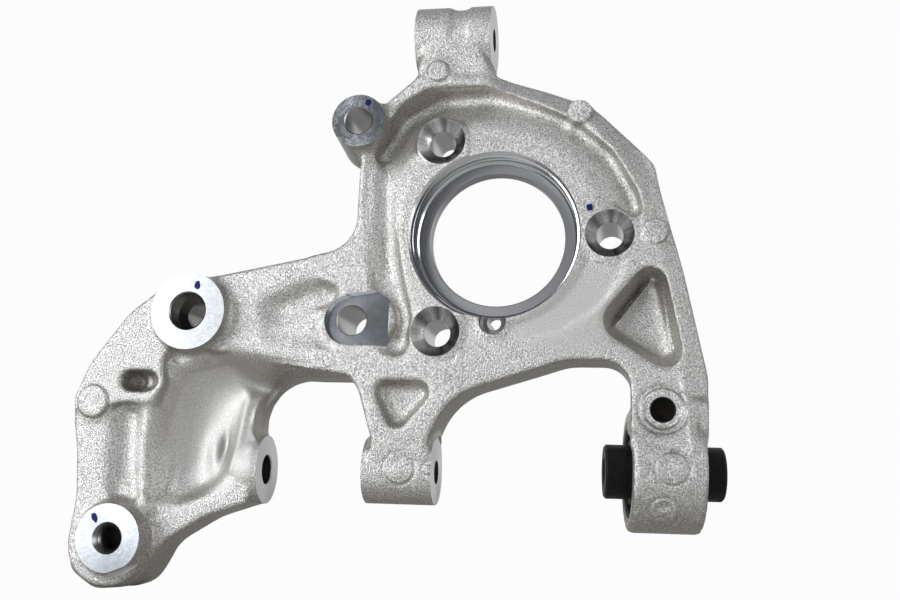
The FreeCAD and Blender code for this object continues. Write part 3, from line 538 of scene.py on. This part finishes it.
def machined(name, middle, axis, colour, roughness, anisotropy=0.7, rings=0.15, swirl=0.0, painted_streaks=0.0):
    """Turned metal: fine rings round an axis, with the highlight drawn out across them. A swirl mottles its
    colour, and streaks are painted radial highlights in it.
    """
    material = finish(
        name, Base_Color=(*colour, 1), Metallic=1.0, Roughness=roughness, Anisotropic=anisotropy)
    nodes, links, shader = insides(material)
    geometry = added(nodes, "NewGeometry")
    from_middle = added(nodes, "VectorMath", operation="SUBTRACT")
    from_middle.inputs[1].default_value = [v / 1000 for v in middle]
    links.new(geometry.outputs["Position"], from_middle.inputs[0])
    round_axis = added(nodes, "VectorMath", operation="CROSS_PRODUCT")
    round_axis.inputs[1].default_value = axis
    links.new(from_middle.outputs["Vector"], round_axis.inputs[0])
    unit = added(nodes, "VectorMath", operation="NORMALIZE")
    links.new(round_axis.outputs["Vector"], unit.inputs[0])
    links.new(unit.outputs["Vector"], shader.inputs["Tangent"])
    distance = added(nodes, "VectorMath", operation="LENGTH")
    links.new(round_axis.outputs["Vector"], distance.inputs[0])
    groove = added(nodes, "TexNoise", noise_dimensions="1D", Scale=2600, Detail=3.0)
    links.new(distance.outputs["Value"], groove.inputs["W"])
    bump = added(nodes, "Bump", Strength=rings, Distance=0.0001)
    links.new(groove.outputs["Fac"], bump.inputs["Height"])
    links.new(bump.outputs["Normal"], shader.inputs["Normal"])
    if not swirl and not painted_streaks:
        return material
    if swirl:
        smear = added(nodes, "TexNoise", Scale=170, Detail=3.0, Distortion=2.5)
        links.new(geometry.outputs["Position"], smear.inputs["Vector"])
    else:
        # Painted highlights: radial streaks of lighter and darker colour round the axis.
        smear = added(nodes, "TexNoise", Scale=2.2, Detail=1.5)
        links.new(unit.outputs["Vector"], smear.inputs["Vector"])
    shade = added(nodes, "MapRange", From_Min=0.35, From_Max=0.65,
                  To_Min=1 - swirl - painted_streaks, To_Max=1 + swirl + 0.5 * painted_streaks)
    links.new(smear.outputs["Fac"], shade.inputs["Value"])
    mottle_and_painted_streaks = added(nodes, "Mix", data_type="RGBA", blend_type="MULTIPLY", Factor=1.0, A=(*colour, 1))
    links.new(shade.outputs["Result"], mottle_and_painted_streaks.inputs["B"])
    links.new(mottle_and_painted_streaks.outputs["Result"], shader.inputs["Base Color"])
    return material


def closed(made_points, made_faces, material):
    "A cutter from points in metres and faces, turned right side out where its volume is negative."
    cutter_mesh = bpy.data.meshes.new("cutter")
    cutter_mesh.from_pydata(made_points, [], made_faces)
    cutter_mesh.materials.append(material)
    work = bmesh.new()
    work.from_mesh(cutter_mesh)
    if work.calc_volume(signed=True) < 0:
        bmesh.ops.reverse_faces(work, faces=work.faces)
    bmesh.ops.triangulate(work, faces=[f for f in work.faces if len(f.verts) > 4])
    work.to_mesh(cutter_mesh)
    work.free()
    cutter = bpy.data.objects.new("cutter", cutter_mesh)
    bpy.context.scene.collection.objects.link(cutter)
    return cutter


def turned(profile, origin, axis, material, sides=96):
    "A closed solid turned about an axis from a profile of (radius, distance along the axis)."
    axis = Vector(axis).normalized()
    side = axis.orthogonal().normalized()
    other = axis.cross(side)
    made_points = []
    made_faces = []
    rings = []
    for radius, run in profile:
        if radius == 0:
            rings.append([len(made_points)])
            made_points.append(Vector(origin) + axis * run)
            continue
        ring = []
        for i in range(sides):
            angle = 2 * math.pi * i / sides
            ring.append(len(made_points))
            made_points.append(
                Vector(origin) + axis * run + (side * math.cos(angle) + other * math.sin(angle)) * radius)
        rings.append(ring)
    for a, b in zip(rings, rings[1:]):
        for i in range(sides):
            j = (i + 1) % sides
            if len(a) == 1:
                made_faces.append((a[0], b[i], b[j]))
            elif len(b) == 1:
                made_faces.append((a[i], b[0], a[j]))
            else:
                made_faces.append((a[i], b[i], b[j], a[j]))
    return closed([tuple(p / 1000) for p in made_points], made_faces, material)


def prism(outline, low, high, material):
    "A closed block with an outline in x and z, between two levels."
    count = len(outline)
    made_points = [(x / 1000, -level / 1000, z / 1000) for level in (low, high) for x, z in outline]
    made_faces = [tuple(range(count)), tuple(range(2 * count - 1, count - 1, -1))]
    for i in range(count):
        j = (i + 1) % count
        made_faces.append((i, i + count, j + count, j))
    return closed(made_points, made_faces, material)


def plain(radius, low, high):
    "The profile of a plain cylinder."
    return [(0, low), (radius, low), (radius, high), (0, high)]


def chamfered(radius, low, mouth, chamfer):
    "The profile of a hole with a chamfered mouth, run 2 mm past it."
    wide = radius + chamfer
    past = mouth + 2
    return [(0, low), (radius, low), (radius, mouth - chamfer), (wide, mouth), (wide, past), (0, past)]


def on_face(place):
    "A place as a point of the mounting face."
    return (place[0], 0, place[1])


def bore(point, axis, profile, colour=(0.5, 0.5, 0.5), roughness=0.3):
    "A bored hole with a skin of its own."
    return turned(profile, point, axis, machined("bored_hole", point, axis, colour, roughness), 80)


# First cuts: the hub's seat and lead, and the round bowl of each bolt.
INBOARD = (0, -1, 0)
SIDEWAYS = (1, 0, 0)
hub_profile = [(0, 25.8), (42.6, 25.8), (43.5, 26.6), (43.5, 34.2), (44.2, 34.4), (44.4, 35.2), (45, 35.2),
               (45, 37.9), (46.3, 39.2), (46.3, 41), (0, 41)]
hub_skin = machined(
    "hub_turned", on_face(HUB), INBOARD, (0.78, 0.80, 0.82), 0.12, anisotropy=0.4, rings=0.3)
first_cuts = [turned(hub_profile, on_face(HUB), INBOARD, hub_skin, 320)]
bowl_profile = [(0, 31.0), (6.6, 31.0), (7.1, 31.6)]
for step in range(1, 13):
    run = step / 12
    swell = 0.25 * math.sin(run * math.pi)
    bowl_profile.append((7.1 + 6.2 * run + swell, 31.6 + 7.4 * run - swell))
bowl_profile += [(13.5, 39.3), (13.5, 42), (0, 42)]
for number, place in enumerate(BOLTS):
    # Each bowl's colour carries painted radial highlight streaks.
    skin = machined("bowl_turned_%d" % number, on_face(place), INBOARD, (0.86, 0.87, 0.88), 0.24,
                    anisotropy=0.8, rings=0.3, painted_streaks=0.6)
    first_cuts.append(turned(bowl_profile, on_face(place), INBOARD, skin))

# The faces that look inboard: the shoulder, the two caliper bosses, and the spot face with its round end.
# Each face is the same machined aluminium: its grey and blue cast are painted shade and painted reflection,
# darkened most on the upper face.
inboard_faces = [
    ("shoulder_face", SHOULDER, 17, SHOULDER_LEVEL, (0.62, 0.66, 0.71), 0.2, 0.35),
    ("upper_face", UPPER_BOSS, 24.5, BOSS_LEVEL, (0.33, 0.345, 0.365), 0.3, 0.10),
    ("lower_face", LOWER_BOSS, 21.5, BOSS_LEVEL, (0.40, 0.43, 0.47), 0.25, 0.10),
]
for label, place, radius, level, colour, roughness, swirl in inboard_faces:
    skin = machined(
        label, on_face(place), INBOARD, colour, roughness, anisotropy=0.4, rings=0.1, swirl=swirl)
    first_cuts.append(turned(plain(radius, level, level + 6), on_face(place), INBOARD, skin))
spot_outline = [(-55, -59.6), (-55, -28.6), (-79.3, -32.0)]
for step in range(13):
    angle = math.radians(98 + 172 * step / 12)
    spot_outline.append((-76.5 + 13.6 * math.cos(angle), -46.0 + 13.6 * math.sin(angle)))
# Its blue cast is a painted reflection.
spot_skin = machined("spot_face", on_face(SPOT_FACE), INBOARD, (0.80, 0.84, 0.88), 0.18,
                     anisotropy=0.4, rings=0.1, swirl=0.10)
first_cuts.append(prism(spot_outline, 34, 41, spot_skin))

# The end faces of the ear, the middle boss and the side pad, and the eye's bore.
BARE = (0.62, 0.63, 0.64)
ear_skin = machined("end_faces", EAR, SIDEWAYS, BARE, 0.3)
middle_skin = machined("low_end_faces", MIDDLE, SIDEWAYS, BARE, 0.3)
pad_skin = machined("pad_face", SIDE_PAD, SIDEWAYS, BARE, 0.3)
end_faces = [
    (EAR, 21.0, 21, ear_skin),
    (EAR, -21.0, 21, ear_skin),
    (MIDDLE, 18.4, 19, middle_skin),
    (MIDDLE, -18.4, 19, middle_skin),
    (SIDE_PAD, 0, 21, pad_skin),
]
for middle, shift, radius, skin in end_faces:
    face = (middle[0] + shift, middle[1], middle[2])
    outwards = (-1 if shift < 0 else 1, 0, 0)
    first_cuts.append(turned(plain(radius, 0, 8), face, outwards, skin))
eye_axis = (math.cos(EYE_TURN), math.sin(EYE_TURN), 0)
first_cuts.append(turned(plain(25, -26, 26), EYE, eye_axis, middle_skin, 128))

# Second cuts, which would overlap the first: the holes through the bowls, faces and ends.
THREAD_PITCH = 1.5
THREAD_CORE = 6.3
THREAD_ROOT = 6.95
lower_profile = [(0, -2), (THREAD_CORE, -2)]
for number in range(30):
    run = 0.05 + THREAD_PITCH * number
    lower_profile += [(THREAD_CORE, run), (THREAD_ROOT, run + THREAD_PITCH / 2)]
lower_profile = [corner for corner in lower_profile if corner[1] < BOSS_LEVEL - 1.8]
lower_profile += [(6.9, 44.4), (8.4, 46), (8.4, 48), (0, 48)]
upper_profile = [(0, -2), (7, -2), (7, 28), (9.8, 28), (9.8, 45.2), (10.6, 46), (10.6, 48), (0, 48)]
drain_profile = [(0, -2), (3.7, -2), (3.7, 30.5), (5.6, 30.5), (7.2, 32), (7.2, 41), (0, 41)]
screw_profile = [(0, 28.5), (5.8, 28.5), (5.8, 38.9), (6.5, 39.5), (6.5, 42), (0, 42)]
second_cuts = [bore(on_face(place), INBOARD, plain(7.1, -2, 33), (0.62, 0.62, 0.62)) for place in BOLTS]
second_cuts += [
    bore(on_face(DRAIN), INBOARD, drain_profile),
    bore(on_face(SPOT_FACE), INBOARD, chamfered(7.9, -8, 34, 0.5)),
    bore(on_face(SHOULDER), INBOARD, chamfered(7.4, -2, SHOULDER_LEVEL, 0.6)),
    # The dark greys of the upper, lower and screw holes are painted shade inside them.
    bore(on_face(UPPER_BOSS), INBOARD, upper_profile, (0.24, 0.24, 0.23), 0.25),
    bore(on_face(LOWER_BOSS), INBOARD, lower_profile, (0.28, 0.28, 0.28), 0.25),
    bore(on_face(SCREW), INBOARD, screw_profile, (0.07, 0.065, 0.06), 0.45),
    bore(EAR, SIDEWAYS, plain(6.2, -24, 24)),
    bore(MIDDLE, SIDEWAYS, plain(6.2, -22, 22)),
    bore(SIDE_PAD, SIDEWAYS, chamfered(7.8, -18, 0, 0.5)),
]
# The lower boss is also cut off along a chord below its face.
chord_outline = [(-207, -184.5), (-204, -192), (-178, -182), (-184, -175.6)]
chord_skin = machined("chord_face", on_face(LOWER_BOSS), INBOARD, (0.6, 0.6, 0.6), 0.3)
second_cuts.append(prism(chord_outline, 39, 50, chord_skin))

# Third cut, which would overlap the drain hole: the pilot bore and the throat.
throat_profile = [(0, -2), (45, -2), (45, 18), (36.25, 18), (36.25, 24.4), (36.85, 25), (41.8, 25),
                  (41.8, 27), (0, 27)]
# Its dark grey is painted shade: the ring is turned like the hub's seat but coloured darker.
throat_skin = machined(
    "throat_turned", on_face(HUB), INBOARD, (0.42, 0.43, 0.45), 0.42, anisotropy=0.2, rings=0.3)
third_cuts = [turned(throat_profile, on_face(HUB), INBOARD, throat_skin, 320)]

# Each group is joined into one cutter, and each cut leaves its own finish on the faces that it makes.
knuckle.data.materials.clear()
knuckle.data.materials.append(cast)
cut_groups = (first_cuts, second_cuts, third_cuts)
for number, cutters in enumerate(cut_groups):
    if len(cutters) > 1:
        with bpy.context.temp_override(
                active_object=cutters[0], selected_editable_objects=cutters, object=cutters[0]):
            bpy.ops.object.join()
    cut = knuckle.modifiers.new("cut_%d" % number, "BOOLEAN")
    cut.operation = "DIFFERENCE"
    cut.solver = "MANIFOLD"
    cut.material_mode = "TRANSFER"
    cut.object = cutters[0]
bpy.context.view_layer.update()
graph = bpy.context.evaluated_depsgraph_get()
carved = bpy.data.meshes.new_from_object(knuckle.evaluated_get(graph))
knuckle.modifiers.clear()
knuckle.data = carved
for cutters in cut_groups:
    bpy.data.objects.remove(cutters[0])
for polygon in carved.polygons:
    polygon.use_smooth = True
carved.set_sharp_from_angle(angle=math.radians(32))
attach(knuckle, "root")
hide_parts("knuckle_casting")

# The bush's inner sleeve: a thick steel tube with chamfered ends and a rough black coat. It sits in the
# rubber and stands out of the eye on both sides, where a link's fork clamps it.
sleeve_black = finish(
    "sleeve_black", Base_Color=(0.006, 0.006, 0.007, 1), Roughness=0.5, Specular_IOR_Level=0.25)
nodes, links, shader = insides(sleeve_black)
geometry = added(nodes, "NewGeometry")
mottle = added(nodes, "TexNoise", Scale=500, Detail=5)
links.new(geometry.outputs["Position"], mottle.inputs["Vector"])
bump = added(nodes, "Bump", Strength=0.8, Distance=0.0006)
links.new(mottle.outputs["Fac"], bump.inputs["Height"])
links.new(bump.outputs["Normal"], shader.inputs["Normal"])


def tube(name, inner, outer, half, chamfer, material, sides=128):
    "A tube about the eye's axis with chamfered ends, from its radii and half its length in mm."
    profile = [(inner, chamfer - half), (inner + chamfer, -half), (outer - chamfer, -half),
               (outer, chamfer - half), (outer, half - chamfer), (outer - chamfer, half),
               (inner + chamfer, half), (inner, half - chamfer)]
    axis = Vector(eye_axis)
    up = Vector((0, 0, 1))
    side = axis.cross(up)
    made_points = []
    made_faces = []
    count = len(profile)
    for i in range(sides):
        angle = 2 * math.pi * i / sides
        spoke = up * math.cos(angle) + side * math.sin(angle)
        for radius, run in profile:
            made_points.append(tuple((Vector(EYE) + axis * run + spoke * radius) / 1000))
    for i in range(sides):
        j = (i + 1) % sides
        for a in range(count):
            b = (a + 1) % count
            made_faces.append((i * count + a, i * count + b, j * count + b, j * count + a))
    tube_mesh = bpy.data.meshes.new(name)
    tube_mesh.from_pydata(made_points, [], made_faces)
    tube_mesh.materials.append(material)
    for polygon in tube_mesh.polygons:
        polygon.use_smooth = True
    tube_mesh.set_sharp_from_angle(angle=math.radians(35))
    piece = bpy.data.objects.new(name, tube_mesh)
    bpy.context.scene.collection.objects.link(piece)
    return piece


inner_sleeve = tube("inner_sleeve", 6.3, 13.7, 30, 1.0, sleeve_black)
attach(inner_sleeve, "root")
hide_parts("bush_inner_sleeve")

# The bush's outer sleeve: a thin tube of plain steel with small chamfers, pressed into the eye's bore. Only
# its ends show, round the rubber.
sleeve_steel = finish("sleeve_steel", Base_Color=(0.30, 0.30, 0.31, 1), Metallic=1.0, Roughness=0.35)
outer_sleeve = tube("outer_sleeve", 23.4, 25.0, 18, 0.4, sleeve_steel)
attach(outer_sleeve, "root")
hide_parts("bush_outer_sleeve")

# The bush's rubber: a black ring moulded between the two sleeves and bonded to both, with a void above and
# one below. It keeps its CAD shape and gets a matt finish.
rubber_skin = finish("bush_rubber", Base_Color=(0.010, 0.010, 0.010, 1), Roughness=0.7)
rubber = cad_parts["bush_rubber"]
for index in range(len(rubber.data.materials)):
    rubber.data.materials[index] = rubber_skin

# Blue paint: four small dots, dabbed on machined faces with a marker when they were inspected. Each is a
# thin ragged blob, with its x, z and level in mm, half its width and length, and its lean in degrees.
paint = finish("blue_paint", Base_Color=(0.004, 0.010, 0.13, 1), Roughness=0.5, Specular_IOR_Level=0.2)
dots = [
    (-69.9, 72.7, SHOULDER_LEVEL, 1.75, 1.8, 0),
    (-159.4, -28.5, BOSS_LEVEL, 1.7, 2.4, 0),
    (-207.2, -153.0, BOSS_LEVEL, 1.6, 2.7, 28),
    (49.6, 13.7, 39.15, 1.65, 1.7, 0),
]
DOT_SIDES = 20
# A blob is built from its foot up: how far each layer lies above the face, and its share of the full size.
DOT_LAYERS = ((-0.3, 1.0), (0.02, 1.0), (0.12, 0.8))
dot_points = []
dot_faces = []
for x, z, level, width, length, lean in dots:
    start = len(dot_points)
    c, s = math.cos(math.radians(lean)), math.sin(math.radians(lean))
    for lift, taper in DOT_LAYERS:
        for i in range(DOT_SIDES):
            angle = 2 * math.pi * i / DOT_SIDES
            ragged = 1 + 0.07 * math.sin(3 * angle + x) + 0.05 * math.sin(5 * angle + z)
            u = width * taper * ragged * math.cos(angle)
            v = length * taper * ragged * math.sin(angle)
            corner = (x + u * c - v * s, -level - lift, z + u * s + v * c)
            dot_points.append([part / 1000 for part in corner])
    for row in (0, 1):
        for i in range(DOT_SIDES):
            j = (i + 1) % DOT_SIDES
            a = start + row * DOT_SIDES
            dot_faces.append((a + i, a + j, a + DOT_SIDES + j, a + DOT_SIDES + i))
    dot_faces.append([start + 2 * DOT_SIDES + i for i in range(DOT_SIDES)])
    dot_faces.append([start + i for i in reversed(range(DOT_SIDES))])
dot_mesh = bpy.data.meshes.new("paint_dots")
dot_mesh.from_pydata(dot_points, [], dot_faces)
dot_mesh.materials.append(paint)
paint_dots = bpy.data.objects.new("paint_dots", dot_mesh)
bpy.context.scene.collection.objects.link(paint_dots)
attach(paint_dots, "root")

# Floor: a pale matt sheet just under the part, which takes its shadow. Where the camera sees it, it is as
# bright as the backdrop.
FLOOR_GAP = 0.0006
SHEET_WHITE = (0.975, 0.975, 0.98, 1)
floor_skin = finish("floor", Base_Color=(0.62, 0.61, 0.59, 1), Roughness=0.9)
nodes, links, shader = insides(floor_skin)
glow = added(nodes, "Emission", Color=SHEET_WHITE)
path = added(nodes, "LightPath")
mix = added(nodes, "MixShader")
links.new(path.outputs["Is Camera Ray"], mix.inputs[0])
links.new(shader.outputs["BSDF"], mix.inputs[1])
links.new(glow.outputs["Emission"], mix.inputs[2])
links.new(mix.outputs["Shader"], nodes["Material Output"].inputs["Surface"])
bpy.ops.mesh.primitive_plane_add(size=6, location=(0, 0, cad_box[0][2] - FLOOR_GAP))
floor = bpy.context.object
floor.name = "floor"
floor.data.materials.append(floor_skin)

# Light: a soft room that is darker behind the camera, a large panel on the left, and smaller ones above and
# on the right. The backdrop that the camera sees is an even near-white.
world = bpy.data.worlds.new("studio")
bpy.context.scene.world = world
world.use_nodes = True
nodes = world.node_tree.nodes
links = world.node_tree.links
background = nodes["Background"]
background.inputs["Strength"].default_value = 0.75
coordinates = added(nodes, "TexCoord")
split = added(nodes, "SeparateXYZ")
links.new(coordinates.outputs["Generated"], split.inputs[0])
depth = added(nodes, "MapRange", From_Min=-1.0, From_Max=1.0)
links.new(split.outputs["Y"], depth.inputs["Value"])
ramp = added(nodes, "ValToRGB")
shades = ramp.color_ramp.elements
shades[0].position = 0.0
shades[0].color = (0.08, 0.08, 0.09, 1)
shades[1].position = 0.8
shades[1].color = (0.95, 0.95, 0.95, 1)
shades.new(0.55).color = (0.26, 0.26, 0.27, 1)
links.new(depth.outputs["Result"], ramp.inputs["Fac"])
links.new(ramp.outputs["Color"], background.inputs["Color"])
white = added(nodes, "Background", Color=SHEET_WHITE)
path = added(nodes, "LightPath")
mix = added(nodes, "MixShader")
links.new(path.outputs["Is Camera Ray"], mix.inputs[0])
links.new(background.outputs["Background"], mix.inputs[1])
links.new(white.outputs["Background"], mix.inputs[2])
links.new(mix.outputs["Shader"], nodes["World Output"].inputs["Surface"])
# Each panel's place, what it faces, its width and height in metres, and its power in watts.
light_panels = [
    ("left_panel", (-1.25, -1.25, 0.1), (-0.05, 0, -0.03), 1.2, 1.5, 32),
    ("top_panel", (0.1, -0.9, 1.5), (-0.05, 0, 0), 1.0, 0.6, 3),
    ("right_panel", (1.35, -0.75, 0.1), (0, 0, -0.03), 0.6, 1.2, 7),
]
for label, place, target, width, height, power in light_panels:
    light_data = bpy.data.lights.new(label, "AREA")
    light_data.shape = "RECTANGLE"
    light_data.size = width
    light_data.size_y = height
    light_data.energy = power
    light = bpy.data.objects.new(label, light_data)
    bpy.context.scene.collection.objects.link(light)
    light.location = place
    light.rotation_euler = (Vector(target) - Vector(place)).to_track_quat("-Z", "Y").to_euler()
bpy.context.scene.view_settings.view_transform = "Standard"
